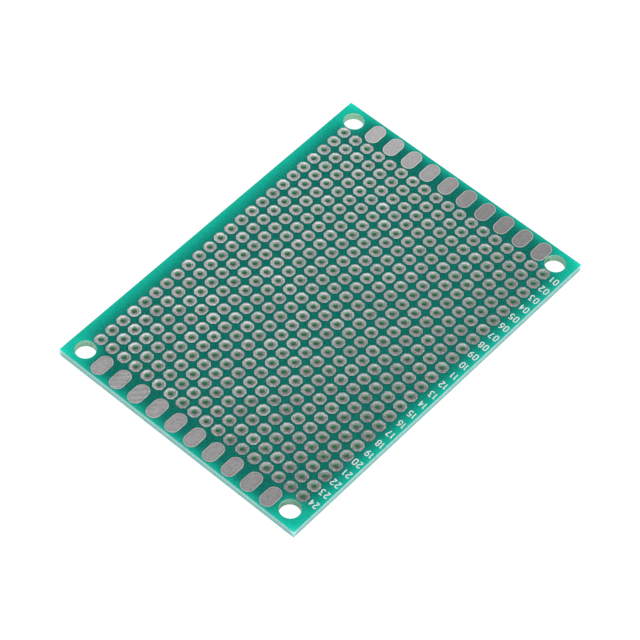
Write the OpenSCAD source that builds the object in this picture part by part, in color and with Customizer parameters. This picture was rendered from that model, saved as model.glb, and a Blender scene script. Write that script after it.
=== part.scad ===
// Prototype board: a glass-epoxy board with pads on one side. Every pad of the hole grid is
// drilled through for a component lead. A row of wide pads without holes runs along each short
// end, and there is a mounting hole in each corner.
// Origin at the centre of the underside. +X faces the numbered long edge, +Y the end of row 01,
// and +Z comes out of the pad side. All sizes are in millimetres.

/* [Hole grid] */
// Distance from pad to pad, across and along
pitch = 2.54; // [2.4:0.01:3]
// Number of pads across the board, in each row
columns = 18; // [14:1:24]
// Drill diameter of the lead holes in the laminate
drill_d = 1.02; // [0.8:0.02:1.2]
// How far the drilling stands off the pad centres, across the board
drill_shift_x = -0.07; // [-0.1:0.01:0.1]
// How far the drilling stands off the pad centres, along the board
drill_shift_y = 0.07; // [-0.1:0.01:0.1]

/* [Board] */
// Thickness of the bare laminate
core_t = 1.55; // [0.8:0.05:3.2]
// Last column of pads to the numbered long edge
numbered_margin = 3.31; // [2.6:0.01:8]
// First column of pads to the plain long edge
plain_margin = 3.51; // [2.6:0.01:8]

/* [Mounting holes] */
// Diameter of the mounting holes
mount_d = 3.55; // [2.5:0.05:4.2]
// Hole centre to the numbered long edge
mount_inset_numbered = 3.25; // [2.6:0.01:4.5]
// Hole centre to the plain long edge
mount_inset_plain = 3.05; // [2.6:0.01:4.5]
// Laminate between the mounting holes and the outer rows of round pads
mount_gap = 0.24; // [0.1:0.005:0.4]

/* [Round pads] */
// Pad width across the sides that face the neighbouring pads
pad_across = 2.05; // [1.8:0.01:2.2]
// Pad width across the four corner cuts
pad_corner_across = 2.14; // [2.05:0.01:2.5]
// Tin that laps over the edge of the drilled hole
tin_lip = 0.02; // [0:0.005:0.06]
// Flat rim where the dip round the hole comes closest to the side of the pad
dip_rim = 0.055; // [0.02:0.005:0.12]

/* [Wide end pads] */
// Number of wide pads along each short end
end_pad_count = 10; // [2:1:13]
// Width of a wide pad, along the short edge
end_pad_w = 2.6; // [1.5:0.01:3.2]
// Length of a wide pad, over its round ends
end_pad_l = 4.1; // [3.3:0.01:8]
// Row 01 end: round pads to wide pads
end_gap_first = 0.265; // [0.1:0.005:1]
// Row 24 end: round pads to wide pads
end_gap_last = 0.385; // [0.1:0.005:1]
// Row 01 end: wide pads to the short edge
end_edge_first = 0.4; // [0.1:0.01:3]
// Row 24 end: wide pads to the short edge
end_edge_last = 0.28; // [0.1:0.01:3]
// Row 01 end: outer wide pads to the mounting hole on the plain and on the numbered side
end_sides_first = [1.475, 0.075]; // [0.05:0.005:2]
// Row 24 end: outer wide pads to the mounting hole on the plain and on the numbered side
end_sides_last = [0.975, 0.575]; // [0.05:0.005:2]
// Sloping edge of the tin on a wide pad
end_bevel = 0.12; // [0.04:0.005:0.3]

/* [Layers] */
// Copper foil
copper_t = 0.035; // [0.018:0.001:0.07]
// Tin on the rim of a round pad
rim_tin_t = 0.055; // [0.02:0.001:0.07]
// Tin on a round pad at the edge of its hole
hole_tin_t = 0.005; // [0.001:0.001:0.015]
// Tin on a wide pad
end_tin_t = 0.03; // [0.01:0.005:0.06]
// Solder mask on the laminate
mask_t = 0.025; // [0.01:0.001:0.03]

/* [Hidden] */
rows = 24;
function row_name(row) = str("pads_row_", row < 10 ? "0" : "", row);

arc_fn = 64;
dip_fn = 240;
mask_green = [0.09, 0.47, 0.40];
laminate_green = [0.66, 0.80, 0.66];
tin_grey = [0.70, 0.69, 0.69];

// Each margin runs from the outer pads to an edge of the board. The grid sits between the
// margins, so it is off centre where they differ.
grid_w = (columns - 1) * pitch;
grid_l = (rows - 1) * pitch;
first_margin = pad_across / 2 + end_gap_first + end_pad_l + end_edge_first;
last_margin = pad_across / 2 + end_gap_last + end_pad_l + end_edge_last;
board_w = plain_margin + grid_w + numbered_margin;
board_l = last_margin + grid_l + first_margin;
grid_x = (plain_margin - numbered_margin) / 2;
grid_y = (last_margin - first_margin) / 2;
function column_x(column) = grid_x + (column - (columns + 1) / 2) * pitch;
function row_y(row) = grid_y + ((rows + 1) / 2 - row) * pitch;

// Mounting holes stand clear of the outer rows by their gap
mount_reach = pad_across / 2 + mount_gap + mount_d / 2;
mount_x = [mount_inset_plain - board_w / 2, board_w / 2 - mount_inset_numbered];
mount_y = [row_y(rows) - mount_reach, row_y(1) + mount_reach];

// Wide pads fill the space between the two mounting holes of their end
end_y_first = board_l / 2 - end_edge_first - end_pad_l / 2;
end_y_last = -board_l / 2 + end_edge_last + end_pad_l / 2;
function end_x(sides) = [
    mount_x[0] + mount_d / 2 + sides[0] + end_pad_w / 2,
    mount_x[1] - mount_d / 2 - sides[1] - end_pad_w / 2
];
end_h = copper_t + end_tin_t;

// Round pads: a flat rim, and tin that thins along an arc from the rim to the hole
rim_h = copper_t + rim_tin_t;
throat_r = drill_d / 2 - tin_lip;
dip_r = min(pad_across, pad_corner_across) / 2 - norm([drill_shift_x, drill_shift_y]) - dip_rim;
dip_w = dip_r - throat_r;
dip_depth = rim_tin_t - hole_tin_t;
dip_arc_r = (dip_w * dip_w + dip_depth * dip_depth) / (2 * dip_depth);

// Corners of an octagon whose sides face the axes and the diagonals
function pad_outline() =
    let (half = pad_across / 2, side = pad_corner_across / sqrt(2) - half)
    [for (turn = [0 : 90 : 270], s = [-side, side])
        [half * cos(turn) - s * sin(turn), half * sin(turn) + s * cos(turn)]];

module at_grid() {
    for (row = [1 : rows], column = [1 : columns])
        translate([column_x(column), row_y(row)]) children();
}

module at_drilling() {
    translate([drill_shift_x, drill_shift_y]) children();
}

module at_mounts() {
    for (x = mount_x, y = mount_y)
        translate([x, y]) children();
}

module at_end_pads(y, sides) {
    ends = end_x(sides);
    for (i = [0 : end_pad_count - 1])
        translate([ends[0] + (ends[1] - ends[0]) * i / (end_pad_count - 1), y]) children();
}

module wide_pad_outline() {
    straight = end_pad_l - end_pad_w;
    square([end_pad_w, straight], center = true);
    for (y = [-straight / 2, straight / 2])
        translate([0, y]) circle(d = end_pad_w, $fn = arc_fn);
}

module laminate() {
    color(laminate_green)
        linear_extrude(core_t)
            difference() {
                square([board_w, board_l], center = true);
                at_mounts() circle(d = mount_d, $fn = arc_fn);
                at_grid() at_drilling() circle(d = drill_d, $fn = arc_fn);
            }
}

// A film over the laminate, with a window for every pad
module solder_mask() {
    color(mask_green)
        translate([0, 0, core_t])
            linear_extrude(mask_t)
                difference() {
                    square([board_w, board_l], center = true);
                    at_mounts() circle(d = mount_d, $fn = arc_fn);
                    at_grid() polygon(pad_outline());
                    at_end_pads(end_y_first, end_sides_first) wide_pad_outline();
                    at_end_pads(end_y_last, end_sides_last) wide_pad_outline();
                }
}

// The dip round a hole: a slice under an arc that is level at the rim, turned about the hole
module tin_dip() {
    rotate_extrude($fn = arc_fn)
        intersection() {
            translate([dip_r, rim_h - dip_arc_r]) circle(dip_arc_r, $fn = dip_fn);
            translate([throat_r, 0]) square([dip_w, rim_h]);
        }
}

module round_pad() {
    linear_extrude(rim_h)
        difference() {
            polygon(pad_outline());
            at_drilling() circle(dip_r, $fn = arc_fn);
        }
    at_drilling() tin_dip();
}

module pads_row(row) {
    color(tin_grey)
        for (column = [1 : columns])
            translate([column_x(column), row_y(row), core_t]) round_pad();
}

// Half the cross-section of a wide pad: a copper foot, and tin with a sloping edge
module wide_pad_section() {
    half = end_pad_w / 2;
    polygon([[0, 0], [half, 0], [half, copper_t], [half - end_bevel, end_h], [0, end_h]]);
}

// The section is turned through half a circle at each end and drawn along the straight part
module wide_pad() {
    straight = end_pad_l - end_pad_w;
    for (side = [0, 1])
        rotate(180 * side) {
            translate([0, straight / 2]) rotate_extrude(angle = 180, $fn = arc_fn) wide_pad_section();
            translate([0, straight / 2]) rotate([90, 0, 0]) linear_extrude(straight) wide_pad_section();
        }
}

module end_pads(y, sides) {
    color(tin_grey)
        translate([0, 0, core_t])
            at_end_pads(y, sides) wide_pad();
}

laminate();
solder_mask();
for (row = [1 : rows])
    pads_row(row);
end_pads(end_y_first, end_sides_first);  // end_pads_first
end_pads(end_y_last, end_sides_last);  // end_pads_last
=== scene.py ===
import math
import bpy
from mathutils import Matrix, Vector


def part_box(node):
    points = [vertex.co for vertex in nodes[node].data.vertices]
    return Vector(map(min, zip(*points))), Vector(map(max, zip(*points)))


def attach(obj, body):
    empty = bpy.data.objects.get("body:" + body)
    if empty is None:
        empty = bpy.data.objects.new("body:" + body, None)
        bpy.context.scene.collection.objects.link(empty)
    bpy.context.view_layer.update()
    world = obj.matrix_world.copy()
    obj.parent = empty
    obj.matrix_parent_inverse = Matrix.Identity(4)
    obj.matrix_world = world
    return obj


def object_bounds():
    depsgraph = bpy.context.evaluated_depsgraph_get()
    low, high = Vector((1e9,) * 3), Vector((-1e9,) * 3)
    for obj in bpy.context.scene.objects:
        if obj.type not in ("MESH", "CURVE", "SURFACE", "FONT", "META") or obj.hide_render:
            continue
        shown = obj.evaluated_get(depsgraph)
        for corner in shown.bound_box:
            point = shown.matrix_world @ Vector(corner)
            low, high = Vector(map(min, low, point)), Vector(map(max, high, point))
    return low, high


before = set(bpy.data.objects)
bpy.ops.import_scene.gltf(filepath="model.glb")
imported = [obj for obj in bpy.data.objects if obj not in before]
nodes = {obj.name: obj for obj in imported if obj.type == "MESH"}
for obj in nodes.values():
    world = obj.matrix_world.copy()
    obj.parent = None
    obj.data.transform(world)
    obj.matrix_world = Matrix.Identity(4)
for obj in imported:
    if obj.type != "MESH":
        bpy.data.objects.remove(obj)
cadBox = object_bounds()
mm = 0.001
boardHalf = cadBox[1].to_2d() / mm  # half the board's width and length, in mm
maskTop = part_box("solder_mask")[1].z
print("frame loaded,", len(nodes), "CAD nodes")

# Sizes and places on the board, in mm, as in the CAD
grid = {"pitch": 2.54, "centreX": 0.1, "centreY": 0.0, "rows": 24, "columns": 18,
        "halfPad": 1.025, "halfCorner": 1.07, "drillX": -0.07, "drillY": 0.07}
widePads = {"count": 10, "step": 4.0, "halfWidth": 1.3, "halfStraight": 0.75,
            "first": (0.6, 32.55, 0), "last": (0.1, -32.67, 0)}
mountHoles = {"x": (-21.95, 21.75), "y": 32.25, "radius": 1.775}


# Node helpers: a value, a colour or another node's socket can go into any input

def setInput(tree, socket, value):
    if isinstance(value, bpy.types.NodeSocket):
        tree.links.new(value, socket)
    else:
        socket.default_value = value


def addNode(tree, kind, inputs=None, **settings):
    node = tree.nodes.new(kind)
    for name, value in settings.items():
        setattr(node, name, value)
    for name, value in (inputs or {}).items():
        setInput(tree, node.inputs[name], value)
    return node


def calc(tree, operation, first, second=0.0, third=0.0):
    node = addNode(tree, "ShaderNodeMath", {0: first, 1: second, 2: third}, operation=operation)
    return node.outputs[0]


def vectorCalc(tree, operation, first, second=(0, 0, 0), third=(0, 0, 0)):
    node = addNode(tree, "ShaderNodeVectorMath", {0: first, 1: second, 2: third},
                   operation=operation)
    return node.outputs["Value" if operation in ("LENGTH", "DOT_PRODUCT") else "Vector"]


def scaled(tree, vector, factor):
    node = addNode(tree, "ShaderNodeVectorMath", {0: vector, "Scale": factor}, operation="SCALE")
    return node.outputs["Vector"]


def ramp(tree, value, span, outLow=0.0, outHigh=1.0, smooth=True):
    low, high = span
    node = addNode(tree, "ShaderNodeMapRange",
                   {"Value": value, "From Min": low, "From Max": high,
                    "To Min": outLow, "To Max": outHigh},
                   interpolation_type="SMOOTHSTEP" if smooth else "LINEAR")
    return node.outputs[0]


def fade(tree, value, span):  # from one down to nothing
    return ramp(tree, value, span, 1.0, 0.0)


def roundZero(tree, value, spread):  # a noise value, as far below zero as above
    return calc(tree, "MULTIPLY_ADD", value, spread, -spread / 2)


def roundOne(tree, colour, spread):  # a noise colour, as far below one as above
    return vectorCalc(tree, "MULTIPLY_ADD", colour, spread, [1 - part / 2 for part in spread])


def mixColour(tree, factor, first, second):
    node = addNode(tree, "ShaderNodeMix", data_type="RGBA")
    for index, value in ((0, factor), (6, first), (7, second)):  # 6 and 7 take the colours
        if isinstance(value, tuple):
            value += (1.0,)
        setInput(tree, node.inputs[index], value)
    return node.outputs[2]


def parts(tree, vector):
    node = addNode(tree, "ShaderNodeSeparateXYZ", {0: vector})
    return node.outputs[0], node.outputs[1], node.outputs[2]


def noise(tree, vector, scale, detail=2.0, roughness=0.5):
    node = addNode(tree, "ShaderNodeTexNoise",
                   {"Vector": vector, "Scale": scale, "Detail": detail, "Roughness": roughness})
    return node.outputs


def stretchedNoise(tree, vector, stretch, detail, roughness=0.5):
    return noise(tree, vectorCalc(tree, "MULTIPLY", vector, stretch), 1.0, detail, roughness)


def newGroup(name, takes, gives):
    group = bpy.data.node_groups.new(name, "ShaderNodeTree")
    for sockets, way in ((takes, "INPUT"), (gives, "OUTPUT")):
        for label, kind in sockets.items():
            group.interface.new_socket(name=label, in_out=way, socket_type="NodeSocket" + kind)
    return group, group.nodes.new("NodeGroupInput").outputs, group.nodes.new("NodeGroupOutput")


def finishGroup(group, gives, **results):
    for label, socket in results.items():
        group.links.new(socket, gives.inputs[label])
    return group


def useGroup(tree, group, **values):
    return addNode(tree, "ShaderNodeGroup", values, node_tree=group).outputs


def newMaterial(name, **fixed):
    material = bpy.data.materials.new(name)
    material.use_nodes = True
    tree = material.node_tree
    shader = tree.nodes["Principled BSDF"]
    for socket, value in fixed.items():
        shader.inputs[socket.replace("_", " ")].default_value = value
    coordinates = addNode(tree, "ShaderNodeTexCoord")
    place = coordinates.outputs["Object"]
    position = vectorCalc(tree, "MULTIPLY", place, (1 / mm,) * 3)  # in mm
    return material, tree, shader, position


def addBump(tree, shader, height, strength, distance):
    bump = addNode(tree, "ShaderNodeBump",
                   {"Height": height, "Strength": strength, "Distance": distance})
    tree.links.new(bump.outputs[0], shader.inputs["Normal"])


def paint(objects, material):
    for piece in objects:
        piece.data.materials.clear()
        piece.data.materials.append(material)


# Glass cloth: threads that cross, with a slow wander, and specks, as a value round zero
clothShape = {"wanderScale": 0.35, "wander": 0.9, "acrossOnly": 0.4, "threads": 0.5,
              "speckScale": 4.8, "specks": 5.0}


def buildWeave():
    group, takes, gives = newGroup("glassWeave", {"Position": "Vector", "Thread": "Float"},
                                   {"Value": "Float"})
    wander = noise(group, takes["Position"], clothShape["wanderScale"])
    moved = vectorCalc(group, "MULTIPLY_ADD", wander["Color"], (clothShape["wander"],) * 3,
                       takes["Position"])
    x, y = parts(group, moved)[:2]
    turn = calc(group, "DIVIDE", 2 * math.pi, takes["Thread"])
    across = calc(group, "SINE", calc(group, "MULTIPLY", x, turn))
    along = calc(group, "SINE", calc(group, "MULTIPLY", y, turn))
    both = calc(group, "ADD", calc(group, "MULTIPLY", across, along),
                calc(group, "MULTIPLY", across, clothShape["acrossOnly"]))
    speckle = noise(group, takes["Position"], clothShape["speckScale"], detail=3.0,
                    roughness=0.7)
    value = calc(group, "ADD", calc(group, "MULTIPLY", both, clothShape["threads"]),
                 roundZero(group, speckle["Fac"], clothShape["specks"]))
    return finishGroup(group, gives, Value=value)


# Place in the pad grid: offset from the nearest pad, the distance from its middle as an octagon
# measures it, a number and a tint that differ from pad to pad, and whether the grid reaches there
def buildPadCell():
    group, takes, gives = newGroup("padCell", {"Position": "Vector"},
                                   {"Offset": "Vector", "Octagon": "Float", "Chance": "Float",
                                    "Tint": "Color", "Inside": "Float"})
    pitch = grid["pitch"]
    centred = vectorCalc(group, "SUBTRACT", takes["Position"],
                         (grid["centreX"], grid["centreY"], 0))
    cells = vectorCalc(group, "DIVIDE", centred, (pitch, pitch, 1000))  # one cell high
    fromMiddleX, fromMiddleY = parts(group, vectorCalc(group, "ABSOLUTE", cells))[:2]
    inside = calc(group, "MULTIPLY", calc(group, "LESS_THAN", fromMiddleX, grid["columns"] / 2),
                  calc(group, "LESS_THAN", fromMiddleY, grid["rows"] / 2))
    inCell = vectorCalc(group, "SUBTRACT", vectorCalc(group, "FRACTION", cells), (0.5, 0.5, 0))
    offset = vectorCalc(group, "MULTIPLY", inCell, (pitch, pitch, 0))
    x, y = parts(group, vectorCalc(group, "ABSOLUTE", offset))[:2]
    straight = calc(group, "MAXIMUM", x, y)
    diagonal = calc(group, "MULTIPLY", calc(group, "ADD", x, y),
                    math.sqrt(0.5) * grid["halfPad"] / grid["halfCorner"])
    chance = addNode(group, "ShaderNodeTexWhiteNoise",
                     {"Vector": vectorCalc(group, "FLOOR", cells)}, noise_dimensions="3D")
    return finishGroup(group, gives, Offset=offset, Inside=inside,
                       Octagon=calc(group, "MAXIMUM", straight, diagonal),
                       Chance=chance.outputs["Value"], Tint=chance.outputs["Color"])


# Place on a row of wide pads: offset from the nearest pad, the distance from its middle line,
# and the pad's count from the plain edge
def buildWideCell():
    group, takes, gives = newGroup("wideCell", {"Position": "Vector", "Centre": "Vector"},
                                   {"Offset": "Vector", "Reach": "Float", "Count": "Float"})
    step = widePads["step"]
    x, y = parts(group, vectorCalc(group, "SUBTRACT", takes["Position"], takes["Centre"]))[:2]
    cell = calc(group, "DIVIDE", x, step)
    inCell = calc(group, "MULTIPLY", calc(group, "SUBTRACT", calc(group, "FRACT", cell), 0.5), step)
    fromMiddle = calc(group, "ABSOLUTE", y)
    beyond = calc(group, "MAXIMUM",
                  calc(group, "SUBTRACT", fromMiddle, widePads["halfStraight"]), 0.0)
    offset = addNode(group, "ShaderNodeCombineXYZ", {0: inCell, 1: y})
    reach = addNode(group, "ShaderNodeCombineXYZ", {0: inCell, 1: beyond})
    count = calc(group, "ADD", calc(group, "FLOOR", cell), widePads["count"] / 2 + 1)
    return finishGroup(group, gives, Offset=offset.outputs[0], Count=count,
                       Reach=vectorCalc(group, "LENGTH", reach.outputs[0]))


# Light that comes through the laminate near a cut edge, from one at the edge to nothing well inside
glowFall = 1.6  # above one the light holds longer and then ends sooner


def buildEdgeGlow():
    group, takes, gives = newGroup("edgeGlow", {"Distance": "Float", "Reach": "Float"},
                                   {"Glow": "Float"})
    distance = calc(group, "MAXIMUM", takes["Distance"], 0.0)
    share = calc(group, "DIVIDE", distance, takes["Reach"])
    depth = calc(group, "POWER", share, glowFall)
    glow = calc(group, "EXPONENT", calc(group, "MULTIPLY", depth, -1.0))
    return finishGroup(group, gives, Glow=glow)


# Hot-dipped tin: cloudy patches and grain in its tone, and a slightly uneven skin
skinShape = {"clouds": 1.0, "grains": 1.6}


def buildTinSkin():
    group, takes, gives = newGroup("tinSkin",
                                   {"Position": "Vector", "Cloud": "Float", "Grain": "Float"},
                                   {"Tone": "Float", "Height": "Float", "Hue": "Color"})
    cloud = noise(group, takes["Position"], takes["Cloud"])
    grain = noise(group, takes["Position"], takes["Grain"], detail=3.0, roughness=0.6)
    tone = calc(group, "ADD", roundZero(group, cloud["Fac"], skinShape["clouds"]),
                roundZero(group, grain["Fac"], skinShape["grains"]))
    return finishGroup(group, gives, Tone=tone, Height=grain["Fac"], Hue=grain["Color"])


glassWeave = buildWeave()
padCell = buildPadCell()
wideCell = buildWideCell()
tinSkin = buildTinSkin()
edgeGlow = buildEdgeGlow()
print("shared node groups built")


# Solder mask: deep green, lighter at the edges, where light comes through the laminate
maskLook = {"deep": (0.003, 0.183, 0.141), "glow": (0.006, 0.446, 0.318),
            # How far the light reaches in from each edge in mm, and its strength
            "numberedEdge": (1.5, 0.87), "plainEdge": (2.0, 0.87),
            "firstEdge": (1.08, 0.84), "lastEdge": (1.08, 0.76), "mountHole": (0.95, 0.41),
            # Darker round the pads, partly the mask thicker where it climbs the copper and partly
            # painted shade; how much, and where that fades, in mm from them
            "padShade": 0.25, "roundPadShade": (0.02, 0.16), "widePadShade": (0.02, 0.2),
            "weave": 0.46, "edgeWeave": 0.07, "thread": 0.46,
            "drift": (4.4, 0.75, 1.1), "driftScale": 6.5, "bump": 0.4, "bumpDepth": 1.5e-6}


def makeGreenMask():
    material, tree, shader, position = newMaterial("greenMask", Roughness=0.32,
                                                   Specular_IOR_Level=0.05)
    x, y = parts(tree, position)[:2]
    edges = [(calc(tree, "SUBTRACT", boardHalf.x, x), "numberedEdge"),
             (calc(tree, "ADD", boardHalf.x, x), "plainEdge"),
             (calc(tree, "SUBTRACT", boardHalf.y, y), "firstEdge"),
             (calc(tree, "ADD", boardHalf.y, y), "lastEdge")]
    flat = vectorCalc(tree, "MULTIPLY", position, (1, 1, 0))
    for holeX in mountHoles["x"]:
        # The board is folded over its middle, so that the holes of both ends are one
        folded = vectorCalc(tree, "ABSOLUTE", vectorCalc(tree, "SUBTRACT", flat, (holeX, 0, 0)))
        fromHole = vectorCalc(tree, "SUBTRACT", folded, (0, mountHoles["y"], 0))
        distance = calc(tree, "SUBTRACT", vectorCalc(tree, "LENGTH", fromHole),
                        mountHoles["radius"])
        edges.append((distance, "mountHole"))
    glow = 0.0
    for distance, edge in edges:
        reach, share = maskLook[edge]
        light = useGroup(tree, edgeGlow, Distance=distance, Reach=reach)
        glow = calc(tree, "MULTIPLY_ADD", light["Glow"], share, glow)

    cell = useGroup(tree, padCell, Position=position)
    padShade = [grid["halfPad"] + distance for distance in maskLook["roundPadShade"]]
    nearPad = calc(tree, "MULTIPLY", cell["Inside"], fade(tree, cell["Octagon"], padShade))
    padShade = [widePads["halfWidth"] + distance for distance in maskLook["widePadShade"]]
    count = widePads["count"]
    for end in ("first", "last"):
        wide = useGroup(tree, wideCell, Position=position, Centre=widePads[end])
        there = calc(tree, "COMPARE", wide["Count"], (count + 1) / 2, count / 2)
        close = fade(tree, wide["Reach"], padShade)
        nearPad = calc(tree, "MAXIMUM", nearPad, calc(tree, "MULTIPLY", there, close))

    weave = useGroup(tree, glassWeave, Position=position, Thread=maskLook["thread"])["Value"]
    drift = noise(tree, position, maskLook["driftScale"], roughness=0.6)
    hue = vectorCalc(tree, "MAXIMUM", roundOne(tree, drift["Color"], maskLook["drift"]), (0, 0, 0))
    mottle = vectorCalc(tree, "MULTIPLY", hue, maskLook["deep"])
    green = scaled(tree, mottle, calc(tree, "MULTIPLY_ADD", weave, maskLook["weave"], 1.0))
    fine = calc(tree, "MULTIPLY_ADD", weave, maskLook["edgeWeave"], 1.0)
    through = scaled(tree, maskLook["glow"], calc(tree, "MULTIPLY", glow, fine))
    # Painted shade round the pads, together with the thicker mask there
    shade = scaled(tree, vectorCalc(tree, "ADD", green, through),
                   calc(tree, "MULTIPLY_ADD", nearPad, -maskLook["padShade"], 1.0))
    tree.links.new(shade, shader.inputs["Base Color"])
    addBump(tree, shader, weave, maskLook["bump"], maskLook["bumpDepth"])
    return material


paint([nodes["solder_mask"]], makeGreenMask())


# Laminate: pale green glass-epoxy, with the layers of cloth showing on its cut edges
laminateLook = {
    # Cut edges: darker low down and lighter higher up, and a line under the mask; heights in mm
    "edgeLow": (0.26, 0.66, 0.60), "edgeTop": (0.43, 0.81, 0.77), "edgeLine": (0.21, 0.82, 0.78),
    "upperFrom": (0.55, 0.95), "lineFrom": (1.42, 1.52), "edgeHue": (1.35, 0.55, 0.95),
    # Painted light: the cut edges are lighter close to the board's corners
    "cornerLight": 0.48, "cornerReach": 1.0,
    # Walls of the mounting holes: painted shade, darker at the foot, and painted light, lighter on
    # the plain side and at row 01
    "mountWall": (0.40, 0.82, 0.65), "mountStreak": (0.39, 0.60, 0.39), "streakFrom": (0.40, 0.64),
    "wallHeight": (0.5, 1.5), "holeFootShade": 0.71, "holeTop": 0.88,
    "plainHoleLight": 0.20, "firstHoleLight": 0.15,
    # Walls of the lead holes: painted shade, dark deep down, and painted light, pale at the mouth
    "leadDepthShade": (0.12, 0.46, 0.24), "leadMouthLight": (0.58, 0.82, 0.67), "mouthFrom": (0.80, 1.5),
    # Underside, with painted shadows of the pads on the other face, darker where a pad is there
    "underside": (0.47, 0.62, 0.47), "padShadowColour": (0.36, 0.50, 0.38), "padShadowEdge": (1.0, 1.12),
    # Where each kind of face is, in mm from the board's sides, ends and underside
    "edgeFace": (0.02, 0.04), "mountSide": (4.85, 4.95), "mountEnd": (4.7, 4.75),
    "bottomFace": (0.005, 0.015),
    # Streaks that lie flat in the layers, marks of the drill, and the weave
    "streakStretch": (1.9, 1.9, 7.0), "drillStretch": (0.7, 0.7, 6.0),
    "waveBend": 5.0, "waveTurn": 13.0, "waves": 0.3, "patches": 2.0,
    "marks": 0.22, "streakShare": 2.0, "weaveShare": 0.5, "thread": 0.5,
    "bump": 0.5, "bumpDepth": 3e-6}


def makeGlassEpoxy():
    look = laminateLook
    material, tree, shader, position = newMaterial("glassEpoxy", Roughness=0.45,
                                                   Specular_IOR_Level=0.3)
    x, y, z = parts(tree, position)
    toSide = calc(tree, "SUBTRACT", boardHalf.x, calc(tree, "ABSOLUTE", x))
    toEnd = calc(tree, "SUBTRACT", boardHalf.y, calc(tree, "ABSOLUTE", y))
    onEdge = fade(tree, calc(tree, "MINIMUM", toSide, toEnd), look["edgeFace"])
    nearMount = calc(tree, "MULTIPLY", fade(tree, toSide, look["mountSide"]),
                     fade(tree, toEnd, look["mountEnd"]))
    onUnderside = fade(tree, z, look["bottomFace"])

    streaks = stretchedNoise(tree, position, look["streakStretch"], detail=3.0, roughness=0.7)
    waves = calc(tree, "SINE", calc(tree, "MULTIPLY_ADD", streaks["Fac"], look["waveBend"],
                                    calc(tree, "MULTIPLY", z, look["waveTurn"])))
    streak = calc(tree, "MULTIPLY_ADD", waves, look["waves"],
                  roundZero(tree, streaks["Fac"], look["patches"]))
    # The cut edges are darker low down and lighter higher up
    edge = mixColour(tree, ramp(tree, z, look["upperFrom"]), look["edgeLow"], look["edgeTop"])
    edge = mixColour(tree, ramp(tree, z, look["lineFrom"]), edge, look["edgeLine"])
    edge = vectorCalc(tree, "MULTIPLY", edge, roundOne(tree, streaks["Color"], look["edgeHue"]))
    # Painted light, the cut edges lighter near the corners
    cornerLight = ramp(tree, calc(tree, "ADD", toSide, toEnd), (0.0, look["cornerReach"]),
                      1 + look["cornerLight"], 1.0)

    # Painted light and shade on the lead hole walls, pale at the mouth and dark deep down
    lead = mixColour(tree, ramp(tree, z, look["mouthFrom"]), look["leadDepthShade"], look["leadMouthLight"])
    drilled = stretchedNoise(tree, position, look["drillStretch"], detail=2.0)
    mount = mixColour(tree, ramp(tree, drilled["Fac"], look["streakFrom"]), look["mountWall"],
                      look["mountStreak"])
    # Painted shade low in the mounting holes, and painted light on the plain side and at row 01
    tone = ramp(tree, z, look["wallHeight"], look["holeFootShade"], look["holeTop"])
    onPlainSide = calc(tree, "LESS_THAN", x, 0.0)
    tone = calc(tree, "MULTIPLY_ADD", onPlainSide, look["plainHoleLight"], tone)
    atFirstEnd = calc(tree, "GREATER_THAN", y, 0.0)
    tone = calc(tree, "MULTIPLY_ADD", atFirstEnd, look["firstHoleLight"], tone)
    wall = mixColour(tree, nearMount, lead, scaled(tree, mount, tone))
    faces = mixColour(tree, onEdge, wall, scaled(tree, edge, cornerLight))

    cell = useGroup(tree, padCell, Position=position)
    # Painted shadows of the pads, seen through the laminate from below
    padShadowMask = calc(tree, "MULTIPLY", fade(tree, cell["Octagon"], look["padShadowEdge"]),
                     cell["Inside"])
    below = mixColour(tree, padShadowMask, look["underside"], look["padShadowColour"])
    colour = mixColour(tree, onUnderside, faces, below)
    weave = useGroup(tree, glassWeave, Position=position, Thread=look["thread"])["Value"]
    marks = calc(tree, "ADD", calc(tree, "MULTIPLY", streak, look["streakShare"]),
                 calc(tree, "MULTIPLY", weave, look["weaveShare"]))
    shade = scaled(tree, colour, calc(tree, "MULTIPLY_ADD", marks, look["marks"], 1.0))
    tree.links.new(shade, shader.inputs["Base Color"])
    addBump(tree, shader, weave, look["bump"], look["bumpDepth"])
    return material


paint([nodes["laminate"]], makeGlassEpoxy())


# Round pads: dull tin, with a painted highlight along the outer edge, each pad a little different
tinLook = {"tin": (0.437, 0.44, 0.445), "cloudScale": 1.3, "grainScale": 3.2, "cloud": 0.56,
           "rim": (0.92, 0.99), "rimHighlight": 0.24, "padSpread": 0.12, "hueShare": 0.12,
           # Painted shade and a painted reflection of the hole's green in the tin round it;
           # distances in mm from its middle
           "ring": (0.50, 0.62), "ringShade": 0.05, "holeReflection": (0.29, 0.41, 0.33),
           "lightSlopeX": -0.0138, "lightSlopeY": 0.0045,  # painted light: change of tone with each mm over the board, lighter towards the plain side and row 01
           "dipEdge": 0.76, "dipTurn": 0.66, "dipCurve": 0.62, "tilt": 0.08, "dents": 0.030,
           "toneSpan": (-0.5, 0.5), "roughness": (0.15, 0.25)}


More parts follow.
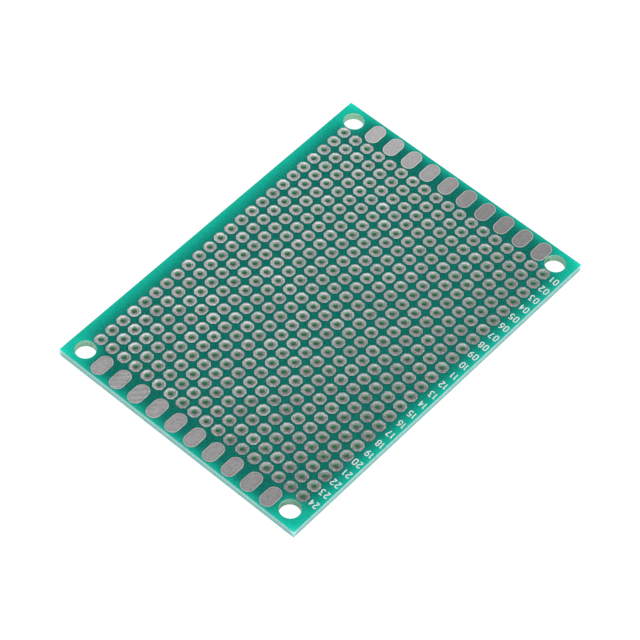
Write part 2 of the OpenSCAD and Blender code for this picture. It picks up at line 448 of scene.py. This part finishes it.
def makeDullTin():
    look = tinLook
    material, tree, shader, position = newMaterial("dullTin", Metallic=1.0)
    cell = useGroup(tree, padCell, Position=position)
    skin = useGroup(tree, tinSkin, Position=position, Cloud=look["cloudScale"],
                    Grain=look["grainScale"])
    x, y = parts(tree, position)[:2]
    fromDrill = vectorCalc(tree, "SUBTRACT", cell["Offset"], (grid["drillX"], grid["drillY"], 0))
    fromHole = vectorCalc(tree, "LENGTH", fromDrill)
    rim = ramp(tree, cell["Octagon"], look["rim"])
    # Painted shade and painted reflection of the hole's green round the hole
    ring = fade(tree, fromHole, look["ring"])
    level = calc(tree, "MULTIPLY_ADD", skin["Tone"], look["cloud"], 1.0)
    # Painted highlight along the pad's outer edge
    level = calc(tree, "MULTIPLY_ADD", rim, look["rimHighlight"], level)
    level = calc(tree, "MULTIPLY_ADD", ring, -look["ringShade"], level)
    level = calc(tree, "ADD", level, roundZero(tree, cell["Chance"], look["padSpread"]))
    # Painted light, lighter towards the plain side and towards row 01
    level = calc(tree, "MULTIPLY_ADD", x, look["lightSlopeX"], level)
    level = calc(tree, "MULTIPLY_ADD", y, look["lightSlopeY"], level)
    tin = mixColour(tree, ring, look["tin"], look["holeReflection"])
    shade = scaled(tree, mixColour(tree, look["hueShare"], tin, skin["Hue"]), level)
    tree.links.new(shade, shader.inputs["Base Color"])
    roughness = ramp(tree, skin["Tone"], look["toneSpan"], *look["roughness"], smooth=False)
    tree.links.new(roughness, shader.inputs["Roughness"])
    # The dip is steepest near its outer edge, and the tin is evener towards the hole
    inDip = calc(tree, "SUBTRACT", calc(tree, "MINIMUM", fromHole, look["dipEdge"]),
                 look["dipTurn"])
    height = calc(tree, "MULTIPLY", calc(tree, "MULTIPLY", inDip, inDip), look["dipCurve"])
    leanWay = vectorCalc(tree, "SUBTRACT", cell["Tint"], (0.5, 0.5, 0.5))
    lean = vectorCalc(tree, "DOT_PRODUCT", cell["Offset"], leanWay)
    height = calc(tree, "MULTIPLY_ADD", lean, look["tilt"], height)
    height = calc(tree, "MULTIPLY_ADD", skin["Height"], look["dents"], height)
    addBump(tree, shader, height, 1.0, mm)
    return material


paint([nodes["pads_row_%02d" % (row + 1)] for row in range(grid["rows"])], makeDullTin())


# Wide pads: the same tin, with a painted highlight on the rim, a dark line inside it, and streaks
# on a few pads
wideLook = {"tin": (0.405, 0.397, 0.40), "cloudScale": 0.7, "grainScale": 2.6, "cloud": 0.16,
            "hueShare": 0.10, "toneSpan": (-0.5, 0.5), "roughness": (0.18, 0.28),
            # Distances in mm from the pad's middle line
            "rim": (1.08, 1.16), "lineStart": (0.89, 1.01), "lineEnd": (1.03, 1.1),
            "lineDrop": 0.17, "bevelFrom": 1.18, "bevel": 0.25,
            "brushStretch": (3.2, 1.0, 1.0), "brush": 0.36,
            "rippleScale": 0.50, "rippleBend": 4.0, "rippleApart": 3.7, "rippleDepth": 0.5,
            "dents": 0.008,
            # Each end: its painted light, its tone from lighter on the plain side to darker on the
            # numbered side, the painted highlight on its rims, and how strong the streaks are on
            # which pads, counted from the plain side
            "first": {"from": (-18.0, 9.0), "tone": (1.46, 0.78), "smooth": True, "rimHighlight": 0.52,
                      "streaks": {1: 0.05, 2: 0.07, 3: 0.04, 6: 0.03, 9: 0.06}},
            "last": {"from": (-18.0, 18.0), "tone": (1.14, 0.66), "smooth": False, "rimHighlight": 0.25,
                     "streaks": {2: 0.16, 3: 0.17, 4: 0.08, 5: 0.05, 8: 0.04}}}


def makeWideTin(name, end):
    look, here = wideLook, wideLook[end]
    material, tree, shader, position = newMaterial(name, Metallic=1.0)
    cell = useGroup(tree, wideCell, Position=position, Centre=widePads[end])
    skin = useGroup(tree, tinSkin, Position=position, Cloud=look["cloudScale"],
                    Grain=look["grainScale"])
    x = parts(tree, position)[0]
    reach = cell["Reach"]
    line = calc(tree, "MULTIPLY", ramp(tree, reach, look["lineStart"]),
                fade(tree, reach, look["lineEnd"]))
    brushed = stretchedNoise(tree, position, look["brushStretch"], detail=3.0, roughness=0.7)
    level = calc(tree, "MULTIPLY_ADD", skin["Tone"], look["cloud"], 1.0)
    level = calc(tree, "MULTIPLY_ADD", line, -look["lineDrop"], level)
    level = calc(tree, "ADD", level, roundZero(tree, brushed["Fac"], look["brush"]))
    # Painted light, lighter on the plain side than on the numbered side
    level = calc(tree, "MULTIPLY", level,
                 ramp(tree, x, here["from"], *here["tone"], smooth=here["smooth"]))
    # Painted highlight on the rim
    level = calc(tree, "MULTIPLY_ADD", ramp(tree, reach, look["rim"]), here["rimHighlight"], level)

    # Streaks slant over the pad, and each pad has its own part of the pattern
    apart = addNode(tree, "ShaderNodeCombineXYZ",
                    {2: calc(tree, "MULTIPLY", cell["Count"], look["rippleApart"])})
    slanted = vectorCalc(tree, "MULTIPLY_ADD", cell["Offset"], (1.0, -1.0, 1.0), apart.outputs[0])
    ripples = addNode(tree, "ShaderNodeTexWave",
                      {"Vector": slanted, "Scale": look["rippleScale"],
                       "Distortion": look["rippleBend"], "Detail": 2.0, "Detail Scale": 0.9},
                      wave_type="BANDS", bands_direction="DIAGONAL")
    marked = 0.0
    for pad, strength in here["streaks"].items():
        there = calc(tree, "COMPARE", cell["Count"], float(pad), 0.5)
        marked = calc(tree, "MULTIPLY_ADD", there, strength, marked)
    ripple = calc(tree, "MULTIPLY", roundZero(tree, ripples.outputs["Fac"], 1.0), marked)
    level = calc(tree, "ADD", level, ripple)
    tinted = mixColour(tree, look["hueShare"], look["tin"], skin["Hue"])
    tree.links.new(scaled(tree, tinted, level), shader.inputs["Base Color"])
    roughness = ramp(tree, skin["Tone"], look["toneSpan"], *look["roughness"], smooth=False)
    tree.links.new(roughness, shader.inputs["Roughness"])

    # The tin rounds its bevel off, so that it mirrors less of the lamp than a sharp one
    onBevel = calc(tree, "MAXIMUM", calc(tree, "SUBTRACT", reach, look["bevelFrom"]), 0.0)
    dents = calc(tree, "MULTIPLY_ADD", ripple, look["rippleDepth"], skin["Height"])
    height = calc(tree, "MULTIPLY_ADD", dents, look["dents"],
                  calc(tree, "MULTIPLY", onBevel, look["bevel"]))
    addBump(tree, shader, height, 1.0, mm)
    return material


paint([nodes["end_pads_first"]], makeWideTin("wideTinFirst", "first"))
paint([nodes["end_pads_last"]], makeWideTin("wideTinLast", "last"))
print("materials on the CAD nodes")


# Row numbers: white ink, drawn with single strokes, read from the end of row 01; sizes in mm
numbers = {"width": 0.55, "height": 1.13, "oneWidth": 0.2, "oneSide": 0.05, "gap": 0.38,
           "stroke": 0.21, "ink": 0.012, "startX": 24.58, "teensStartX": 24.68,
           "shiftFirst": 0.13, "shiftLast": 0.05,
           "white": (0.95, 1.0, 1.0), "worn": (0.90, 1.0, 1.0), "wornFrom": (0.35, 0.7),
           "speckScale": 6.0, "bump": 0.5, "bumpDepth": 3e-6}


def arc(centreX, centreY, radiusX, radiusY, start, end, steps=10):
    angles = [math.radians(start + (end - start) * i / steps) for i in range(steps + 1)]
    return [(centreX + radiusX * math.cos(a), centreY + radiusY * math.sin(a)) for a in angles]


# Strokes of a digit, from its lower left corner. Lines stop at sharp corners, where one that
# went on would get thin
def digitStrokes(digit):
    w, h = numbers["width"], numbers["height"]
    half, one = w / 2, numbers["oneWidth"]
    if digit == "9":  # a six, turned
        return [[(w - u, h - v) for u, v in stroke] for stroke in digitStrokes("6")]
    return {
        "0": [arc(half, h - half, half, half, 0, 180) + arc(half, half, half, half, 180, 360)
              + [(w, h - half)]],
        "1": [[(0, 0.84 * h), (one, h)], [(one, h), (one, 0)]],
        "2": [arc(half, h - half, half, half, 170, -35) + [(0, 0)], [(0, 0), (w, 0)]],
        "3": [[(0, h), (0.94 * w, h)],
              [(0.94 * w, h), (0.45 * w, 0.6 * h)] + arc(half, 0.3 * h, half, 0.3 * h, 80, -155)],
        "4": [[(0.7 * w, 0), (0.7 * w, h)], [(0.7 * w, h), (0, 0.33 * h)],
              [(0, 0.33 * h), (w, 0.33 * h)]],
        "5": [[(0.95 * w, h), (0.1 * w, h)], [(0.1 * w, h), (0.04 * w, 0.53 * h)],
              [(0.04 * w, 0.53 * h)] + arc(half, 0.31 * h, half, 0.31 * h, 130, -150)],
        "6": [arc(half, 0.3 * h, half, 0.3 * h, 0, 360, 16),
              arc(w, 0.3 * h, w, 0.7 * h, 180, 98, 6)],
        "7": [[(0, h), (w, h)], [(w, h), (0.35 * w, 0)]],
        "8": [arc(half, 0.275 * h, half, 0.275 * h, 0, 360, 16),
              arc(half, 0.775 * h, 0.43 * w, 0.225 * h, 0, 360, 16)],
    }[digit]


def drawNumbers():
    curve = bpy.data.curves.new("rowNumbers", "CURVE")
    curve.dimensions = "3D"
    curve.bevel_mode = "ROUND"
    curve.bevel_depth = numbers["stroke"] / 2
    curve.bevel_resolution = 1
    curve.use_fill_caps = True
    rows = grid["rows"]
    first, last = numbers["shiftFirst"], numbers["shiftLast"]
    for row in range(1, rows + 1):
        rowY = ((rows + 1) / 2 - row) * grid["pitch"] + grid["centreY"]
        shift = first + (last - first) * (row - 1) / (rows - 1)
        baseY = rowY + shift + numbers["height"] / 2
        penX = numbers["teensStartX" if 10 <= row < 20 else "startX"]
        for digit in "%02d" % row:
            side = numbers["oneSide"] if digit == "1" else 0.0
            width = numbers["oneWidth"] if digit == "1" else numbers["width"]
            penX -= side
            for stroke in digitStrokes(digit):
                spline = curve.splines.new("POLY")
                spline.points.add(len(stroke) - 1)
                for point, (u, v) in zip(spline.points, stroke):
                    point.co = (penX - u, baseY - v, 0, 1)
            penX -= width + side + numbers["gap"]
    piece = bpy.data.objects.new("rowNumbers", curve)
    bpy.context.scene.collection.objects.link(piece)
    bpy.ops.object.select_all(action="DESELECT")
    piece.select_set(True)
    bpy.context.view_layer.objects.active = piece
    bpy.ops.object.convert(target="MESH")
    piece = bpy.context.object
    # The round strokes are pressed flat, and their lower half lies in the mask
    flatness = numbers["ink"] / (numbers["stroke"] / 2)
    bpy.ops.object.mode_set(mode="EDIT")
    bpy.ops.mesh.select_all(action="SELECT")
    bpy.ops.transform.resize(value=(mm, mm, mm * flatness), center_override=(0, 0, 0))
    bpy.ops.transform.translate(value=(0, 0, maskTop))
    bpy.ops.object.mode_set(mode="OBJECT")
    bpy.ops.object.shade_smooth()
    return piece


def makeWhiteInk():
    material, tree, shader, position = newMaterial("whiteInk", Roughness=0.55,
                                                   Specular_IOR_Level=0.3)
    specks = noise(tree, position, numbers["speckScale"], detail=3.0)["Fac"]
    ink = mixColour(tree, ramp(tree, specks, numbers["wornFrom"]), numbers["white"],
                    numbers["worn"])
    tree.links.new(ink, shader.inputs["Base Color"])
    addBump(tree, shader, specks, numbers["bump"], numbers["bumpDepth"])
    return material


rowNumbers = drawNumbers()
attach(rowNumbers, "root")
paint([rowNumbers], makeWhiteInk())
print("row numbers drawn,", len(rowNumbers.data.polygons), "faces")


# Studio: a white floor that keeps a faint shadow, a soft even room and four big soft lamps
studio = {"room": 0.42, "floorSize": 4.0, "floorDrop": 0.05 * mm, "floorGlow": 0.94,
          "floorDiffuse": 0.2, "floorUnseen": 0.88}
lamps = [{"name": "overhead", "azimuth": 200, "elevation": 82, "distance": 0.7, "size": 0.5,
          "watts": 0.98},
         {"name": "farFill", "azimuth": 192, "elevation": 38, "distance": 0.9, "size": 0.7,
          "watts": 0.54},
         {"name": "nearFill", "azimuth": 65, "elevation": 25, "distance": 0.9, "size": 0.6,
          "watts": 1.7},
         {"name": "nearTop", "azimuth": 30, "elevation": 60, "distance": 0.8, "size": 0.6,
          "watts": 0.9}]


def directionOf(azimuth, elevation):  # azimuth 0 is -Y and 90 is +X
    a, e = math.radians(azimuth), math.radians(elevation)
    return Vector((math.sin(a) * math.cos(e), -math.cos(a) * math.cos(e), math.sin(e)))


world = bpy.data.worlds.new("softRoom")
bpy.context.scene.world = world
world.use_nodes = True
world.node_tree.nodes["Background"].inputs["Color"].default_value = (1, 1, 1, 1)
world.node_tree.nodes["Background"].inputs["Strength"].default_value = studio["room"]

for lamp in lamps:
    direction = directionOf(lamp["azimuth"], lamp["elevation"])
    bpy.ops.object.light_add(type="AREA", location=direction * lamp["distance"])
    light = bpy.context.object
    light.name = lamp["name"]
    light.rotation_euler = direction.to_track_quat("Z", "Y").to_euler()
    light.data.shape = "SQUARE"
    light.data.size = lamp["size"]
    light.data.energy = lamp["watts"]


# The camera and the tin's reflections see a white floor with a shadow, all other light meets
# a plain pale one, and from below the floor is clear
def makeWhiteFloor():
    material = bpy.data.materials.new("whiteFloor")
    material.use_nodes = True
    tree = material.node_tree
    tree.nodes.clear()
    light = addNode(tree, "ShaderNodeLightPath").outputs
    seen = calc(tree, "MAXIMUM", calc(tree, "MAXIMUM", light["Is Camera Ray"],
                                      light["Is Glossy Ray"]), light["Is Transmission Ray"])
    plain = addNode(tree, "ShaderNodeBsdfDiffuse", {"Color": (studio["floorUnseen"],) * 3 + (1,)})
    white = addNode(tree, "ShaderNodeEmission",
                    {"Color": (1, 1, 1, 1), "Strength": studio["floorGlow"]})
    shadow = addNode(tree, "ShaderNodeBsdfDiffuse", {"Color": (studio["floorDiffuse"],) * 3 + (1,)})
    shown = addNode(tree, "ShaderNodeAddShader", {0: white.outputs[0], 1: shadow.outputs[0]})
    topSide = addNode(tree, "ShaderNodeMixShader",
                      {0: seen, 1: plain.outputs[0], 2: shown.outputs[0]})
    clear = addNode(tree, "ShaderNodeBsdfTransparent")
    under = addNode(tree, "ShaderNodeNewGeometry")
    bothSides = addNode(tree, "ShaderNodeMixShader",
                        {0: under.outputs["Backfacing"], 1: topSide.outputs[0],
                         2: clear.outputs[0]})
    addNode(tree, "ShaderNodeOutputMaterial", {"Surface": bothSides.outputs[0]})
    return material


bpy.ops.mesh.primitive_plane_add(size=studio["floorSize"], location=(0, 0, -studio["floorDrop"]))
floor = bpy.context.object
floor.name = "floor"
paint([floor], makeWhiteFloor())
print("studio set")


# Camera: where the photograph was taken from, found from the pads' places in it
shot = {"azimuth": 38.879, "elevation": 54.088, "roll": 3.494, "distance": 0.483508,
        "aim": (1.358, -2.494, 1.60), "lens": 169.776, "sensor": 36.0,
        "nearest": 0.01, "farthest": 10}
back = directionOf(shot["azimuth"], shot["elevation"])
azimuth, roll = math.radians(shot["azimuth"]), math.radians(shot["roll"])
right = Vector((math.cos(azimuth), math.sin(azimuth), 0))
up = back.cross(right)
rightRolled = right * math.cos(roll) + up * math.sin(roll)
upRolled = up * math.cos(roll) - right * math.sin(roll)
place = Vector(shot["aim"]) * mm + back * shot["distance"]
cameraData = bpy.data.cameras.new("camera")
cameraData.lens = shot["lens"]
cameraData.sensor_width = shot["sensor"]
cameraData.clip_start = shot["nearest"]
cameraData.clip_end = shot["farthest"]
camera = bpy.data.objects.new("camera", cameraData)
bpy.context.scene.collection.objects.link(camera)
turned = Matrix((rightRolled, upRolled, back)).transposed().to_4x4()
camera.matrix_world = Matrix.Translation(place) @ turned
bpy.context.scene.camera = camera
bpy.context.scene.view_settings.view_transform = "Standard"
print("camera set")
